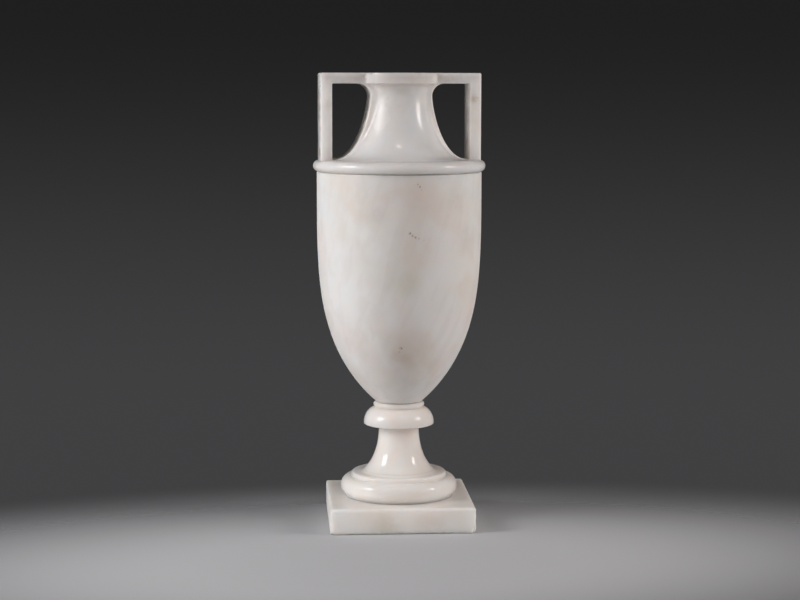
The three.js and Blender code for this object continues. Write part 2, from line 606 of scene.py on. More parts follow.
@dataclass(frozen=True)
class OpeningShade(Layer):
    """Painted shade, with a beige tint, on the sawn walls of the two handle openings."""

    half_depth: float
    start: float
    end: float
    bottom: float
    top: float
    colour: Colour
    amount: float
    edge: float = 1.2

    def cover(self, sheet: Sheet) -> Signal:
        """The room between the posts and the neck, within the handles' depth."""
        across, sideways, height = abs(sheet.axis("Y")), abs(sheet.axis("X")), sheet.axis("Z")
        inside = (across.ramp(self.half_depth, self.half_depth - self.edge)
                  * sideways.ramp(self.start, self.start + self.edge)
                  * sideways.ramp(self.end, self.end - 4 * self.edge)
                  * height.ramp(self.bottom, self.bottom + self.edge)
                  * height.ramp(self.top, self.top - self.edge))
        return inside * sheet.noise(18).rise(0.1, 0.55) * self.amount


@dataclass(frozen=True)
class Speck(Layer):
    """A little brown pit."""

    place: Place
    radius: float
    amount: float = 0.8
    colour: Colour = (0.20, 0.125, 0.07)

    def cover(self, sheet: Sheet) -> Signal:
        """The pit, with a broken edge."""
        ragged = sheet.noise(1.3).rise(0.4, 0.55)
        return sheet.near(self.place, self.radius) * ragged * self.amount


@dataclass(frozen=True)
class Pitting(Layer):
    """Fine dark pores, thinly sown."""

    size: float
    share: float
    amount: float
    colour: Colour = (0.34, 0.25, 0.16)

    def cover(self, sheet: Sheet) -> Signal:
        """The pores, in scattered groups."""
        pores = sheet.node("ShaderNodeTexVoronoi", {"feature": "F1"},
                           {"Vector": sheet.place, "Scale": 1 / (self.size * MM), "Randomness": 1.0}, "Distance")
        sown = sheet.noise(14, detail=1.0, shift=(700, 300, 900)).rise(0.58, 0.72)
        return pores.rise(self.share, 0.3 * self.share) * sown * self.amount


@dataclass(frozen=True)
class RoughPatch:
    """A place where the polish is broken by tool marks."""

    place: Place
    radius: float


@dataclass(frozen=True)
class Alabaster:
    """Clouded, polished alabaster."""

    name: str
    tone: Colour
    layers: tuple[Layer, ...]
    gloss: tuple[float, float]
    depth_of_glow: float
    scratches: float = 0.25
    rough: tuple[RoughPatch, ...] = ()

    def make(self) -> bpy.types.Material:
        """Builds the material.

        Returns:
            The material.
        """
        sheet = Sheet(self.name)
        colour = self.tone
        for layer in self.layers:
            colour = layer.over(sheet, colour)
        smears = sheet.noise(24, detail=4.0, roughness=0.6, shift=(300, 100, 200))
        roughness = smears.rise(0.3, 0.75) * (self.gloss[1] - self.gloss[0]) + self.gloss[0]
        relief = sheet.noise(11) + sheet.noise(1.1, detail=3.0, roughness=0.6) * 0.12
        for patch in self.rough:
            spot = sheet.near(patch.place, patch.radius)
            marks = sheet.noise(1.6, roughness=0.7, turn=(0, 20, 0), stretch=(1, 1, 2.5))
            roughness = roughness + spot * 0.16
            relief = relief + spot * marks * 1.1
        normal = sheet.bump(relief, 0.3 * MM, self.scratches)
        shader = sheet.node(
            "ShaderNodeBsdfPrincipled", {"subsurface_method": "RANDOM_WALK"},
            {"Base Color": colour, "Roughness": roughness, "Normal": normal, "IOR": 1.52,
             "Subsurface Weight": 1.0, "Subsurface Radius": (1.0, 0.88, 0.78),
             "Subsurface Scale": self.depth_of_glow * MM})
        sheet.show(shader)
        return sheet.material


@dataclass
class Stone:
    """One stone of the vase, standing for the plain solid of its name."""

    node: str
    finish: Alabaster
    bed: float = 0.0

    def __post_init__(self) -> None:
        """Reads the heights of the stone's underside and top from the frame."""
        low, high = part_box(self.node)
        self.base = low[2]
        self.top = high[2] + self.bed

    def carve(self) -> Piece:
        """Makes the stone's mesh, with its underside at height 0."""
        raise NotImplementedError

    def build(self) -> Piece:
        """Carves the stone, sets it in its place and dresses it.

        Returns:
            The finished piece.
        """
        piece = self.carve()
        piece.location.z = self.base
        Bench.settle(piece)
        Bench.soften(piece, 38.0)
        piece.data.materials.clear()
        piece.data.materials.append(self.finish.make())
        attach(piece, "root")
        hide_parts(self.node)
        log.info("%s: %d faces", piece.name, len(piece.data.polygons))
        return piece


@dataclass
class Plinth(Stone):
    """A square slab with worn arrises, set a little off the line of the handles."""

    side: float = 159.5 * MM
    arris: float = 1.3 * MM
    top_arris: float = 2.9 * MM
    turn: float = -4.2
    grain: float = 1.4 * MM
    wear_reach: float = 3.4 * MM
    wear_depth: float = 1.4 * MM

    def carve(self) -> Piece:
        """Makes a block with rounded arrises and a fine grid, then wears and chips it.

        Returns:
            The plinth's object.
        """
        height = self.top - self.base
        bpy.ops.object.select_all(action="DESELECT")
        bpy.ops.mesh.primitive_cube_add(size=1.0, location=(0, 0, height / 2), scale=(self.side, self.side, height))
        piece = bpy.context.object
        piece.name = piece.data.name = "plinth_stone"
        Bench.settle(piece)
        bpy.ops.object.mode_set(mode="EDIT")
        Bench.select_edges(piece, lambda edge: all(vertex.co.z > height - WELD for vertex in edge.verts))
        bpy.ops.mesh.bevel(offset=self.top_arris, segments=4, affect="EDGES")
        Bench.select_edges(piece, lambda edge: self._stands_below(edge, height / 2))
        bpy.ops.mesh.bevel(offset=self.arris, segments=3, affect="EDGES")
        for axis, length in enumerate((self.side, self.side, height)):
            Bench.select_edges(piece, lambda edge: self._runs_along(edge, axis, height / 2))
            bpy.ops.mesh.subdivide(number_cuts=round(length / self.grain))
        Bench.close()
        self._wear(piece, height)
        Bench.uneven(piece, 45 * MM, 0.25 * MM)
        Bench.chip(piece, self._chips(height), seed=3)
        piece.rotation_euler.z = math.radians(self.turn)
        return piece

    @staticmethod
    def _stands_below(edge: bmesh.types.BMEdge, shortest: float) -> bool:
        """Whether an edge lies round the underside, or is a long one that rises from it."""
        below = [vertex.co.z < WELD for vertex in edge.verts]
        return all(below) or any(below) and edge.calc_length() > shortest

    @staticmethod
    def _runs_along(edge: bmesh.types.BMEdge, axis: int, shortest: float) -> bool:
        """Whether an edge is a long one that runs along an axis."""
        run = edge.verts[1].co - edge.verts[0].co
        return run.length > shortest and abs(run[axis]) > 0.999 * run.length

    def _wear(self, piece: Piece, height: float) -> None:
        """Rubs the arrises down unevenly."""
        for vertex in piece.data.vertices:
            x, y, z = vertex.co
            gaps = sorted([
                (self.side / 2 - abs(x), Vector((-math.copysign(1, x), 0, 0))),
                (self.side / 2 - abs(y), Vector((0, -math.copysign(1, y), 0))),
                (min(z, height - z), Vector((0, 0, 1 if z < height / 2 else -1))),
            ], key=lambda gap: gap[0])
            near = 1 - (gaps[0][0] + gaps[1][0]) / self.wear_reach
            if near <= 0:
                continue
            depth = self.wear_depth * near * max(0.0, 0.12 + rubbing(vertex.co, 7 * MM, 2.3 * MM))
            vertex.co += (gaps[0][1] + gaps[1][1]) * depth * 0.7

    def _chips(self, height: float) -> list[Chip]:
        """Places the splinters broken from the corners and arrises."""
        half, top = self.side / 2 / MM, height / MM
        return [
            Chip((half + 0.8, -half - 0.8, 1.5), (5.2, 5.0, 8.0), 20),
            Chip((-half - 0.3, -half - 0.3, -0.4), (5.4, 4.6, 3.8), 50),
            Chip((-half - 0.3, -half - 0.3, top + 0.4), (4.2, 4.0, 3.4), 15),
            Chip((-half + 22, -half - 0.5, -0.3), (9.5, 2.7, 2.2), 4),
            Chip((half - 46, -half - 0.6, -0.3), (7.2, 2.9, 2.3), -6),
            Chip((half - 17, -half - 0.6, -0.4), (6.0, 2.6, 2.0), 5),
            Chip((-4, -half - 0.4, top + 0.4), (6.6, 3.1, 2.9), 3),
            Chip((12, -half - 0.6, top + 0.5), (4.4, 3.1, 2.8), -8),
            Chip((half - 9, -half - 0.6, top + 0.4), (5.2, 2.9, 2.7), 7),
            Chip((-half - 0.5, 21, top + 0.4), (3.3, 8.0, 3.0), 6),
            Chip((-half - 0.5, -34, top + 0.5), (3.2, 5.0, 2.8), -4),
            Chip((half + 0.5, 34, -0.3), (3.0, 9.0, 2.6), -5),
            Chip((half + 0.3, half + 0.3, top), (4.6, 4.2, 3.8), 35),
            Chip((-half, half, -0.3), (4.6, 5.2, 4.2), 12),
            Chip((30, half + 0.5, -0.3), (9.0, 2.9, 2.6), 2),
        ]


@dataclass
class Foot(Stone):
    """A torus, a half-round lip, a hollow-curved stem, a knop and a small ring, turned in one."""

    segments: int = 288
    grain: float = 1.1 * MM
    torus_radius: float = 65.4 * MM
    torus_height: float = 22.3 * MM
    torus_start: float = -55.0
    lip_radius: float = 53.5 * MM
    lip_rise: float = 4.5 * MM
    lip_round: float = 3 * MM
    stem_foot_radius: float = 43.5 * MM
    stem_radius: float = 22.5 * MM
    stem_height: float = 53 * MM
    stem_fullness: Fullness = Fullness(1.44, 2.36)
    knop_radius: float = 39.4 * MM
    knop_height: float = 19.7 * MM
    knop_bulge: float = 14.9 * MM
    knop_edge: Point = (2.9 * MM, 1.6 * MM)
    ring_radius: float = 28.6 * MM
    ring_height: float = 6.2 * MM
    ring_notch: float = 0.8 * MM

    def outline(self) -> list[Point]:
        """Gives the outline from the middle of the underside to the middle of the top.

        Returns:
            Points of radius and height.
        """
        tube = self.torus_height / 2
        tube_centre = self.torus_radius - tube
        torus_end = math.degrees(math.acos((self.lip_radius - tube_centre) / tube))
        lip_top = self.torus_height + self.lip_rise
        knop_base = lip_top + self.stem_height
        edge_depth, edge_height = self.knop_edge
        bulge_base = knop_base + edge_height
        knop_top = knop_base + self.knop_height
        notch = self.ring_radius - self.ring_notch
        bulge_centre = self.knop_radius - self.knop_bulge
        bulge_end = math.acos((notch - bulge_centre) / self.knop_bulge)
        bulge_height = (self.knop_height - edge_height) / math.sin(bulge_end)
        ring = self.ring_height / 2
        ring_start = -math.degrees(math.acos((ring - self.ring_notch) / ring))
        top = knop_top + self.ring_height
        stem = quarter_curve((self.stem_foot_radius, lip_top), (self.stem_radius, knop_base),
                             self.stem_fullness, self.grain)
        return [
            (0, 0),
            (tube_centre + tube * math.cos(math.radians(self.torus_start)), 0),
            *arc((tube_centre, tube), (tube, tube), self.torus_start, torus_end, 30),
            *arc((self.lip_radius - self.lip_round, lip_top - self.lip_round),
                 (self.lip_round, self.lip_round), 0, 90, 7),
            *stem,
            *arc((self.knop_radius - edge_depth, bulge_base), (edge_depth, edge_height), -90, 0, 6),
            *arc((bulge_centre, bulge_base), (self.knop_bulge, bulge_height), 0, math.degrees(bulge_end), 22)[1:],
            *arc((self.ring_radius - ring, top - ring), (ring, ring), ring_start, 90, 9),
            (0, top),
        ]

    def carve(self) -> Piece:
        """Turns the foot.

        Returns:
            The foot's object.
        """
        piece = Bench.lathe("foot_stone", self.outline(), self.segments)
        Bench.uneven(piece, 40 * MM, 0.2 * MM)
        return piece


@dataclass
class Cup(Stone):
    """The ovoid bowl, turned hollow, with an open top."""

    segments: int = 320
    grain: float = 1.5 * MM
    foot_radius: float = 25.2 * MM
    radius: float = 91.4 * MM
    wall: float = 9.5 * MM
    floor: float = 24 * MM
    edge_round: float = 0.8 * MM
    fullness: Fullness = Fullness(1.064, 4)

    def outline(self) -> list[Point]:
        """Gives the outline from the underside's middle, up the outside and down the inside.

        Returns:
            Points of radius and height.
        """
        height = self.top - self.base
        edge = height - self.edge_round
        outside = quarter_curve((self.foot_radius, 0), (self.radius, edge), self.fullness, self.grain)
        inside = cut_at(offset(outside, self.wall), 1, self.floor)
        return [
            (0, 0),
            *outside,
            *arc((self.radius - self.edge_round, edge), (self.edge_round, self.edge_round), 0, 90, 5)[1:],
            (self.radius - self.wall, height),
            *evenly(inside, 3 * self.grain)[::-1],
            (0, self.floor),
        ]

    def carve(self) -> Piece:
        """Turns the cup.

        Returns:
            The cup's object.
        """
        piece = Bench.lathe("cup_stone", self.outline(), self.segments)
        Bench.uneven(piece, 60 * MM, 0.3 * MM)
        return piece


@dataclass
class Neck(Stone):
    """The collar, shoulder, neck and rim, carved in one with the two square handles."""

    segments: int = 320
    grain: float = 1.4 * MM
    cup_radius: float = 91.4 * MM
    cup_wall: float = 9.5 * MM
    collar_thickness: float = 13.1 * MM
    collar_projection: float = 4.1 * MM
    groove_angle: float = 150.0
    shoulder_inset: float = 11.9 * MM
    shoulder_fullness: Fullness = Fullness(2.55, 1.47)
    shoulder_wall: float = 9 * MM
    neck_radius: float = 33.8 * MM
    rim_radius: float = 43.8 * MM
    rim_thickness: float = 11.7 * MM
    rim_round: float = 1 * MM
    mouth_radius: float = 27 * MM
    mouth_round: float = 1.6 * MM
    post_inset: float = 2.7 * MM
    post_thickness: float = 12.5 * MM
    depth: float = 37 * MM
    opening_corner: float = 13.5 * MM
    web_proud: float = 0.25 * MM
    handle_arris: float = 1.4 * MM
    handle_corner: float = 2 * MM
    handle_embed: float = 4.5 * MM
    blend: float = 10 * MM

    def __post_init__(self) -> None:
        """Works out the sizes that follow from the others."""
        super().__post_init__()
        self.height = self.top - self.base
        self.reach = self.cup_radius - self.post_inset
        self.bar_underside = self.height - self.rim_thickness
        self.neck_top = self.bar_underside - self.opening_corner

    def sweep(self) -> list[Point]:
        """Gives the shoulder's sweep from the groove up to the neck.

        Returns:
            Points of radius and height.
        """
        return quarter_curve((self.cup_radius - self.shoulder_inset, self.collar_thickness),
                             (self.neck_radius, self.neck_top), self.shoulder_fullness, self.grain)

    def outline(self) -> list[Point]:
        """Gives the outline of the turned body, without its hollow.

        Returns:
            Points of radius and height.
        """
        tube = self.collar_thickness / 2
        tube_centre = self.cup_radius + self.collar_projection - tube
        flare = self.rim_radius - self.neck_radius
        return [
            (0, 0),
            *arc((tube_centre, tube), (tube, tube), -90, self.groove_angle, 26),
            *self.sweep(),
            *arc((self.rim_radius, self.neck_top), (flare, self.opening_corner), 180, 90, 14)[1:],
            *arc((self.rim_radius - self.rim_round, self.height - self.rim_round),
                 (self.rim_round, self.rim_round), 0, 90, 5),
            (0, self.height),
        ]

    def hollow(self) -> list[Point]:
        """Gives the outline of the bore and of the hollow under the shoulder, with some spare at both ends.

        Returns:
            Points of radius and height.
        """
        spare = 1 * MM
        under = [p for p in offset(self.sweep(), self.shoulder_wall) if p[0] > self.mouth_radius]
        inner = self.cup_radius - self.cup_wall
        lip = (self.mouth_radius + self.mouth_round, self.height - self.mouth_round)
        return [
            (0, -spare), (inner, -spare), (inner, 0),
            *under, (self.mouth_radius, self.neck_top), (self.mouth_radius, lip[1]),
            *arc(lip, (self.mouth_round, self.mouth_round), 180, 90, 5)[1:],
            (lip[0], self.height + spare), (0, self.height + spare),
        ]

    def opening(self) -> list[Point]:
        """Gives the outline of the opening between the right post and the neck.

        Returns:
            Points of X and height, in order round the opening.
        """
        post = self.reach - self.post_thickness
        sweep = cut_at(offset(self.sweep(), -self.web_proud), 0, post)
        corner = sweep[-1][0] + self.opening_corner
        fillet = arc((corner, self.neck_top), (self.opening_corner, self.opening_corner), 180, 90, 14)[1:]
        small = 1.2 * MM
        turn = arc((post - small, self.bar_underside - small), (small, small), 90, 0, 4)
        bar = evenly([fillet[-1], turn[0]], self.grain)[1:]
        side = evenly([turn[-1], (post, sweep[0][1] + small)], self.grain)[1:]
        return [*sweep[1:], *fillet, *bar, *turn[1:], *side]

    def plate(self) -> list[Point]:
        """Gives the outer outline of the plate that both handles are sawn from.

        Returns:
            Points of X and height, in order.
        """
        foot = self.collar_thickness - self.handle_embed
        corner = (self.reach - self.handle_corner, self.height - self.handle_corner)
        right = [(self.reach, foot), (self.reach, corner[1])]
        turn = arc(corner, (self.handle_corner, self.handle_corner), 0, 90, 5)
        half = [*evenly(right, self.grain), *turn[1:]]
        top = evenly([half[-1], (-half[-1][0], half[-1][1])], self.grain)[1:-1]
        return [*half, *top, *[(-x, z) for x, z in half[::-1]]]

    def handles(self) -> Piece:
        """Saws both handles out of one plate, with eased arrises.

        Returns:
            The plate's object.
        """
        piece = Bench.start("handles")
        loops = [self.plate(), *([(side.value * x, z) for x, z in self.opening()] for side in Side)]
        for i, loop in enumerate(loops):
            if i:
                bpy.ops.mesh.select_all(action="DESELECT")
                bpy.ops.mesh.primitive_plane_add(size=MM, location=(0, 0, 0))
                bpy.ops.mesh.merge(type="CENTER")
            Bench.draw([(x, -self.depth / 2, z) for x, z in loop])
            self._close_loop(piece, loop)
        bpy.ops.mesh.select_all(action="SELECT")
        bpy.ops.mesh.fill()
        bpy.ops.mesh.select_all(action="SELECT")
        bpy.ops.mesh.extrude_region_move(TRANSFORM_OT_translate={"value": (0, self.depth, 0)})
        Bench.close()
        Bench.apply(piece, "BEVEL", width=self.handle_arris, segments=3, limit_method="ANGLE",
                    angle_limit=math.radians(50), loop_slide=False, use_clamp_overlap=False)
        self._ease(piece)
        return piece

    def _close_loop(self, piece: Piece, loop: list[Point]) -> None:
        """Joins the last point of a drawn loop to its first."""
        shape = bmesh.from_edit_mesh(piece.data)
        ends = [Vector((x, -self.depth / 2, z)) for x, z in (loop[0], loop[-1])]
        for vertex in shape.verts:
            vertex.select_set(any((vertex.co - end).length < WELD for end in ends))
        bmesh.update_edit_mesh(piece.data)
        bpy.ops.mesh.edge_face_add()

    def _ease(self, piece: Piece) -> None:
        """Rubs the handles' arrises down a little, more in some places than in others."""
        edge = self.depth / 2 - self.handle_arris
        normals = [vertex.normal.copy() for vertex in piece.data.vertices]
        for vertex, normal in zip(piece.data.vertices, normals):
            if abs(vertex.co.y) > edge + 0.1 * MM and abs(normal.y) < 0.98:
                vertex.co -= normal * 0.35 * MM * max(0.0, rubbing(vertex.co, 8 * MM, 2.5 * MM) + 0.2)

    def _blend_sides(self, piece: Piece) -> None:
        """Fills the corners between the turned body and the handles' flat sides with hollow curves."""
        half = self.depth / 2
        low, high = self.collar_thickness + 1 * MM, self.bar_underside - 1 * MM
        for vertex in piece.data.vertices:
            x, y, z = vertex.co
            radius = math.hypot(x, y)
            if not low < z < high or radius < self.neck_radius - 1 * MM:
                continue
            fade = min((z - low) / (6 * MM), (high - z) / (9 * MM), 1.0)
            curve = fade * min(self.blend, (half ** 2 + 0.6 * MM * radius) / (2 * (radius - half)))
            bearing = math.atan2(abs(y), abs(x))
            limit = math.asin(min(1.0, (half + curve) / (radius + curve)))
            if bearing >= limit:
                continue
            centre = Vector(((radius + curve) * math.cos(limit), half + curve))
            if bearing < math.atan2(half, centre.x):
                buried = half - 0.2 * MM
                reach = min(radius + 0.3 * MM, buried / max(math.sin(bearing), 1e-6))
            else:
                along = centre.dot(Vector((math.cos(bearing), math.sin(bearing))))
                reach = along - math.sqrt(max(0.0, curve ** 2 - centre.length_squared + along ** 2))
            vertex.co.x *= reach / radius
            vertex.co.y *= reach / radius

    def _chips(self) -> list[Chip]:
        """Places the splinters broken from the rim, the bars and the posts."""
        half, reach, rim, top = (size / MM for size in (self.depth / 2, self.reach, self.rim_radius, self.height))
        crease = math.sqrt(rim ** 2 - half ** 2)
        return [
            Chip((-crease - 0.2, -half - 0.5, top - 2.2), (1.6, 1.6, 3.4), 20),
            Chip((-crease + 0.9, -half - 1.2, top - 7.4), (1.3, 1.5, 2.6), 40),
            Chip((-crease + 5.6, -half - 6.2, top + 0.2), (3.6, 2.0, 1.9), -35),
            Chip((crease - 1, -half - 1.4, top - 0.2), (2.4, 2.0, 1.9), 30),
            Chip((-reach - 0.1, -half - 0.1, 58), (1.5, 1.6, 4.8), 10),
            Chip((reach + 0.1, -half - 0.1, 41), (1.5, 1.5, 3.9), 35),
            Chip((reach - 20, half + 0.2, top), (5.2, 2.2, 2.0), 4),
            Chip((-reach, half, top), (2.6, 2.4, 2.6), 25),
            Chip((30, 32.2, top + 0.2), (3.6, 2.4, 2.0), -45),
        ]

    def carve(self) -> Piece:
        """Turns the body, joins the handles to it, hollows it out and chips it.

        Returns:
            The neck stone's object.
        """
        piece = Bench.lathe("neck_stone", self.outline(), self.segments)
        Bench.uneven(piece, 45 * MM, 0.25 * MM)
        self._blend_sides(piece)
        Bench.combine(piece, self.handles(), "UNION")
        Bench.combine(piece, Bench.lathe("hollow", self.hollow(), 192), "DIFFERENCE")
        Bench.chip(piece, self._chips(), seed=8)
        return piece


@dataclass(frozen=True)
class Lamp:
    """A soft box, placed by the way it lies from the vase as the photographer saw it."""

    name: str
    azimuth: float
    elevation: float
    size: Point
    watts: float
    colour: Colour
    distance: float = 1.7
    mirrored: bool = True


LEFT_LIGHT = (1.0, 0.971, 0.961)
RIGHT_LIGHT = (1.0, 0.938, 0.901)


@dataclass
class Studio:
    """The floor, the light and the camera."""

    aim: Place = (0, 0, 0.25)
    turn: float = -8.0
    camera_place: Place = (-0.2937, -2.0982, 0.4860)
    pitch: float = 6.403
    roll: float = 0.094
    focal_pixels: float = 1909.6
    frame_pixels: float = 800.0
    sensor: float = 36.0
    floor_centre: Place = (-0.045, -0.2, 0.0)
    floor_radius: float = 0.8
    floor_fade: Point = (0.1, 0.42)
    floor_narrowing: Place = (0.55, 1.0, 1.0)
    floor_colour: Colour = (0.55, 0.565, 0.59)
    room_below: Colour = (0.052, 0.052, 0.054)
    room_above: Colour = (0.014, 0.014, 0.0145)
    room_fade: Point = (-0.17, 0.045)
    lamps: tuple[Lamp, ...] = (
        Lamp("left_box", -70, 27, (0.55, 0.6), 10.3, LEFT_LIGHT),
        Lamp("left_far_wall", -75, 10, (1.2, 1.0), 9.6, LEFT_LIGHT, mirrored=False),
        Lamp("left_wall", -50, 12, (1.2, 1.0), 2.9, LEFT_LIGHT, mirrored=False),
        Lamp("left_near_wall", -32, 12, (1.2, 1.0), 6.6, LEFT_LIGHT, mirrored=False),
        Lamp("right_far_wall", 82, 9, (1.0, 0.9), 14.3, RIGHT_LIGHT, mirrored=False),
        Lamp("right_box", 73, 26, (0.38, 0.42), 5.5, RIGHT_LIGHT),
        Lamp("top_box", 0, 66, (0.2, 0.2), 1.1, (1.0, 0.824, 0.772)),
    )

    def build(self) -> None:
        """Sets up the whole studio."""
        self._floor()
        self._lights()
        self._camera()
        log.info("studio: %d lamps", len(self.lamps))

    def _floor(self) -> None:
        """Lays a plain pale floor that fades into the backdrop far from the vase."""
        bpy.ops.object.select_all(action="DESELECT")
        bpy.ops.mesh.primitive_circle_add(vertices=96, radius=self.floor_radius, fill_type="NGON",
                                          location=self.floor_centre)
        floor = bpy.context.object
        Bench.settle(floor)
        floor.name = floor.data.name = "studio_floor"
        sheet = Sheet("studio_paper")
        across = sheet.node("ShaderNodeVectorMath", {"operation": "MULTIPLY"},
                            {0: sheet.place, 1: self.floor_narrowing})
        middle = [value * factor for value, factor in zip(self.floor_centre, self.floor_narrowing)]
        distance = sheet.node("ShaderNodeVectorMath", {"operation": "DISTANCE"}, {0: across, 1: middle}, "Value")
        paper = sheet.node("ShaderNodeBsdfDiffuse", {}, {"Color": (*self.floor_colour, 1.0)})
        clear = sheet.node("ShaderNodeBsdfTransparent", {}, {})
        shader = sheet.node("ShaderNodeMixShader", {},
                            {0: distance.rise(*self.floor_fade), 1: paper, 2: clear})
        sheet.show(shader)
        floor.data.materials.append(sheet.material)

    def _lights(self) -> None:
        """Hangs the soft boxes and sets the dim light of the room."""
        for lamp in self.lamps:
            azimuth, elevation = math.radians(lamp.azimuth + self.turn), math.radians(lamp.elevation)
            way = Vector((math.sin(azimuth) * math.cos(elevation), -math.cos(azimuth) * math.cos(elevation),
                          math.sin(elevation)))
            data = bpy.data.lights.new(lamp.name, "AREA")
            data.shape = "RECTANGLE"
            data.size, data.size_y = lamp.size
            data.energy = lamp.watts
            data.color = lamp.colour
            box = bpy.data.objects.new(lamp.name, data)
            box.location = Vector(self.aim) + way * lamp.distance
            box.rotation_euler = way.to_track_quat("Z", "Y").to_euler()
            box.visible_glossy = lamp.mirrored
            bpy.context.collection.objects.link(box)
        room = Room("room")
        height = room.axis("Z").rise(*self.room_fade)
        dusk = room.mix(height, self.room_below, self.room_above)
        shader = room.node("ShaderNodeBackground", {}, {"Color": dusk})
        room.show(shader)
        bpy.context.scene.world = room.material
        bpy.context.scene.view_settings.view_transform = "Standard"

    def _camera(self) -> None:
        """Sets the camera where the photograph was taken from."""
        data = bpy.data.cameras.new("camera")
        data.sensor_width = self.sensor
        data.lens = self.sensor * self.focal_pixels / self.frame_pixels
        camera = bpy.data.objects.new("camera", data)
        heading = Matrix.Rotation(math.radians(self.turn), 4, "Z")
        tilt = Matrix.Rotation(math.radians(90 - self.pitch), 4, "X")
        roll = Matrix.Rotation(math.radians(self.roll), 4, "Z")
        camera.matrix_world = Matrix.Translation(self.camera_place) @ heading @ tilt @ roll
        bpy.context.collection.objects.link(camera)
        bpy.context.scene.camera = camera


WARM = (0.80, 0.725, 0.68)
# Painted shade: a warm, darker tone laid on the front middle of the cup.
PAINTED_SHADE_TAN = (0.72, 0.63, 0.57)
COOL = (0.78, 0.80, 0.81)
OLIVE = (0.70, 0.665, 0.58)
# Grey of the stone's streaks, also laid as painted shade on the neck and rim.
GREY = (0.66, 0.625, 0.60)
BROWN = (0.50, 0.39, 0.28)
MILK = (0.86, 0.87, 0.87)
# Painted light: a near-white laid on the neck stone where it should look lit, glowing or highlighted.
PAINTED_LIGHT = (0.93, 0.92, 0.91)

PLINTH_FINISH = Alabaster("plinth_alabaster", (0.920, 0.880, 0.853), (
    Cloud(COOL, 90, 0.6, shift=(100, 0, 0)),
    Cloud(WARM, 70, 0.6, shift=(400, 200, 0)),
    Cloud(OLIVE, 60, 0.3, shift=(0, 300, 100)),
    Cloud(MILK, 9, 0.12, detail=2.0),
    StainAndLightSpot((-74.7, -74.5, 23.8), 30, MILK, 0.9, 25),
    StainAndLightSpot((-6.3, -79.5, 26.2), 9, MILK, 0.5, 4),
    StainAndLightSpot((68.9, -85, 19.6), 16, MILK, 0.6, 10),
    StainAndLightSpot((-25.9, -78.1, 5.4), 26, OLIVE, 0.8, 12),
    StainAndLightSpot((23.2, -81.7, 4.7), 24, BROWN, 0.16, 12),
    StainAndLightSpot((-69.3, 17, 28.4), 26, COOL, 0.8, 16),
    StainAndLightSpot((69.5, -43.8, 28.4), 24, GREY, 0.35, 9),
    DirtAndShadeBand(0.0, 4.5, 0.45),
    DirtAndShadeBand(28.4, 0.5, 0.1),
    Pitting(4, 0.1, 0.5),
), gloss=(0.32, 0.46), depth_of_glow=16, scratches=0.35, rough=(
    RoughPatch((-69.3, -20, 28.4), 26),
))
FOOT_FINISH = Alabaster("foot_alabaster", (0.872, 0.826, 0.788), (
    Cloud(WARM, 60, 0.6, shift=(200, 0, 0)),
    Cloud(COOL, 60, 0.35, shift=(0, 500, 0)),
    Cloud(MILK, 16, 0.3, detail=2.0),
    StainAndLightSpot((-12.1, -32.7, 62.2), 40, MILK, 0.3, 14),
    DirtAndShadeBand(28.7, 1.0, 0.45, colour=(0.58, 0.47, 0.35)),
    DirtAndShadeBand(57.5, 1.0, 0.25),
    DirtAndShadeBand(128.5, 1.0, 0.4, colour=(0.62, 0.52, 0.38)),
    Pitting(4, 0.08, 0.4),
), gloss=(0.11, 0.2), depth_of_glow=22, scratches=0.12)
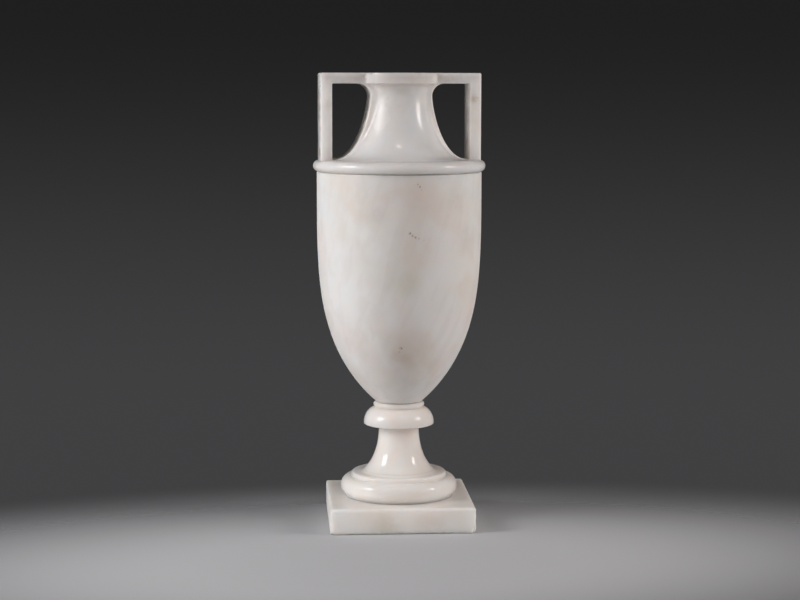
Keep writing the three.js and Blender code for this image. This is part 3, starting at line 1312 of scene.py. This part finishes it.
CUP_FINISH = Alabaster("cup_alabaster", (0.875, 0.829, 0.813), (
    Cloud(COOL, 110, 0.7, shift=(100, 200, 0)),
    Cloud(WARM, 80, 0.6, shift=(300, 0, 200)),
    Cloud(OLIVE, 70, 0.3, shift=(0, 100, 400)),
    Cloud(MILK, 40, 0.55, shift=(600, 100, 200)),
    StainAndLightSpot((-84.9, -33.7, 357.1), 42, COOL, 0.8, 50),
    StainAndLightSpot((-81.2, -38.2, 286.5), 40, COOL, 0.6, 50),
    # Painted shade: three warm, darker patches that darken the front middle of the cup.
    StainAndLightSpot((1, -91.4, 370.6), 55, PAINTED_SHADE_TAN, 0.55, 70),
    StainAndLightSpot((-3.1, -90.8, 312), 50, PAINTED_SHADE_TAN, 0.5, 70),
    StainAndLightSpot((-3.8, -67.7, 190.3), 52, PAINTED_SHADE_TAN, 0.85, 70),
    StainAndLightSpot((-5.9, -88.7, 275.4), 26, OLIVE, 0.95, 30),
    StainAndLightSpot((-2, -91.1, 322.7), 20, WARM, 0.6, 30),
    StainAndLightSpot((-31.3, -85.2, 311.8), 30, MILK, 0.6, 20),
    StainAndLightSpot((-4, -68.8, 192.7), 22, BROWN, 0.3, 14),
    StainAndLightSpot((-12.9, -85.1, 252.5), 20, WARM, 0.6, 14),
    StainAndLightSpot((-66.7, -55.2, 255.3), 60, MILK, 0.7, 40),
    StainAndLightSpot((-50.6, -76.1, 375.4), 20, GREY, 0.4, 9),
    StainAndLightSpot((-38.6, -82.8, 348), 20, GREY, 0.4, 9),
    StainAndLightSpot((53.6, -74, 363.9), 22, GREY, 0.35, 7),
    StainAndLightSpot((65.5, -63.3, 324.2), 22, GREY, 0.35, 7),
    Cloud(GREY, 11, 0.18, low=0.46, high=0.66, turn=(0, 22, 0), stretch=(1, 1, 7), detail=2.0),
    Cloud(MILK, 15, 0.14, detail=2.5),
    DirtAndShadeBand(134.7, 2.0, 0.6, colour=(0.60, 0.50, 0.35)),
    DirtAndShadeBand(391.3, 1.6, 0.4, colour=(0.56, 0.46, 0.34), patch=14),
    Pitting(5, 0.09, 0.5),
    Speck((-1, -91.2, 329.7), 2.3, 0.9),
    Speck((1.7, -91.1, 327), 2.0, 1.0),
    Speck((5, -91, 325.3), 1.9, 0.8),
    Speck((8.8, -90.7, 324.2), 1.6, 0.45),
    Speck((14.3, -89.9, 322.5), 1.5, 0.3),
    Speck((9.7, -90.8, 379.1), 1.7),
    Speck((7.5, -91.1, 381.7), 1.5, 0.6),
    Speck((11.3, -90.7, 375.9), 1.2, 0.5),
    Speck((-7.9, -73.1, 203.7), 2.6, 0.9),
    Speck((-9.3, -71.4, 199.7), 1.6, 0.5),
), gloss=(0.42, 0.55), depth_of_glow=8)
NECK_FINISH = Alabaster("neck_alabaster", (0.803, 0.795, 0.797), (
    Cloud(COOL, 80, 0.6, shift=(200, 100, 0)),
    Cloud(WARM, 70, 0.45, shift=(100, 0, 300)),
    Cloud(GREY, 26, 0.2, low=0.45, detail=2.0),
    Cloud(MILK, 10, 0.15, detail=2.5),
    StainAndLightSpot((-1.1, -53, 417.1), 30, WARM, 0.6, 16),
    StainAndLightSpot((-35.6, -42, 414.6), 22, COOL, 0.6, 14),
    # Painted shade, beige-tinted, on the walls of the handle openings.
    OpeningShade(17.4, 29, 72, 401, 489, (0.80, 0.735, 0.67), 0.6),
    # Painted light: glow laid on the inner face of the right post, which lies in shade.
    *(StainAndLightSpot((76.2, 0, height), 30, PAINTED_LIGHT, 0.8, 40) for height in (425, 465)),
    # Painted shade: grey laid on the outer side of the left post to darken it.
    *(StainAndLightSpot((-88.7, 5, height), 22, GREY, 0.75, 40) for height in (420, 448, 476)),
    # Painted shadow: grey laid on the left of the neck where the left post shades it.
    StainAndLightSpot((-34.6, -7.4, 461.6), 13, GREY, 0.85, 40),
    StainAndLightSpot((-36.8, -16.5, 442.1), 13, GREY, 0.85, 40),
    # Painted light: brightening laid on the middle and right of the shoulder.
    StainAndLightSpot((6, -56.5, 412.8), 42, PAINTED_LIGHT, 0.55, 40),
    # Painted glow: light laid on the front faces of both posts, as if lit through the stone.
    StainAndLightSpot((-83.1, -18.5, 470.4), 26, PAINTED_LIGHT, 0.4, 40),
    StainAndLightSpot((-83.2, -18.5, 437.9), 30, PAINTED_LIGHT, 0.4, 40),
    StainAndLightSpot((80.6, -18.5, 437.6), 26, PAINTED_LIGHT, 0.2, 40),
    StainAndLightSpot((80.4, -18.5, 471.6), 7, BROWN, 0.5, 3),
    StainAndLightSpot((-80.9, -18.5, 465), 12, GREY, 0.4, 6),
    # Painted shade: a grey patch on the left of the rim and a grey band round the rim darken it.
    StainAndLightSpot((-25, -35.9, 494.2), 28, GREY, 0.9, 40),
    DirtAndShadeBand(495.0, 8.5, 0.7, colour=(0.63, 0.605, 0.59), patch=90),
    # Painted highlight: a light band on the rim beside its right crease.
    StainAndLightSpot((35.8, -25.2, 494.4), 7, PAINTED_LIGHT, 0.7, 20),
    # Painted highlight: a small glint at the rim's left crease.
    StainAndLightSpot((-39.3, -19.2, 494.3), 5, PAINTED_LIGHT, 0.5, 3),
    DirtAndShadeBand(391.6, 1.2, 0.35, colour=(0.56, 0.46, 0.34), patch=14),
    DirtAndShadeBand(404.7, 1.2, 0.2, colour=(0.56, 0.46, 0.34)),
    Pitting(4, 0.1, 0.6),
    Speck((79.3, -18.5, 471.6), 1.2, 0.6),
    Speck((84.9, -18.5, 472.7), 0.9, 0.6),
    Speck((-16.5, -29.6, 472.7), 0.9, 0.5),
    Speck((-21.3, -32.6, 485.7), 0.8, 0.5),
), gloss=(0.12, 0.25), depth_of_glow=15, scratches=0.3, rough=(
    RoughPatch((-24.5, -23.3, 475.9), 26),
    RoughPatch((-25.3, -29.5, 446.7), 22),
))


def main() -> None:
    """Builds the studio and the four stones from the ground up."""
    logging.basicConfig(level=logging.INFO, format="%(message)s")
    Studio().build()
    stones = (
        Plinth("plinth", PLINTH_FINISH, bed=0.28 * MM),
        Foot("foot", FOOT_FINISH),
        Cup("cup", CUP_FINISH, bed=0.28 * MM),
        Neck("neck", NECK_FINISH),
    )
    for stone in stones:
        stone.build()


if __name__ == "__main__":
    main()
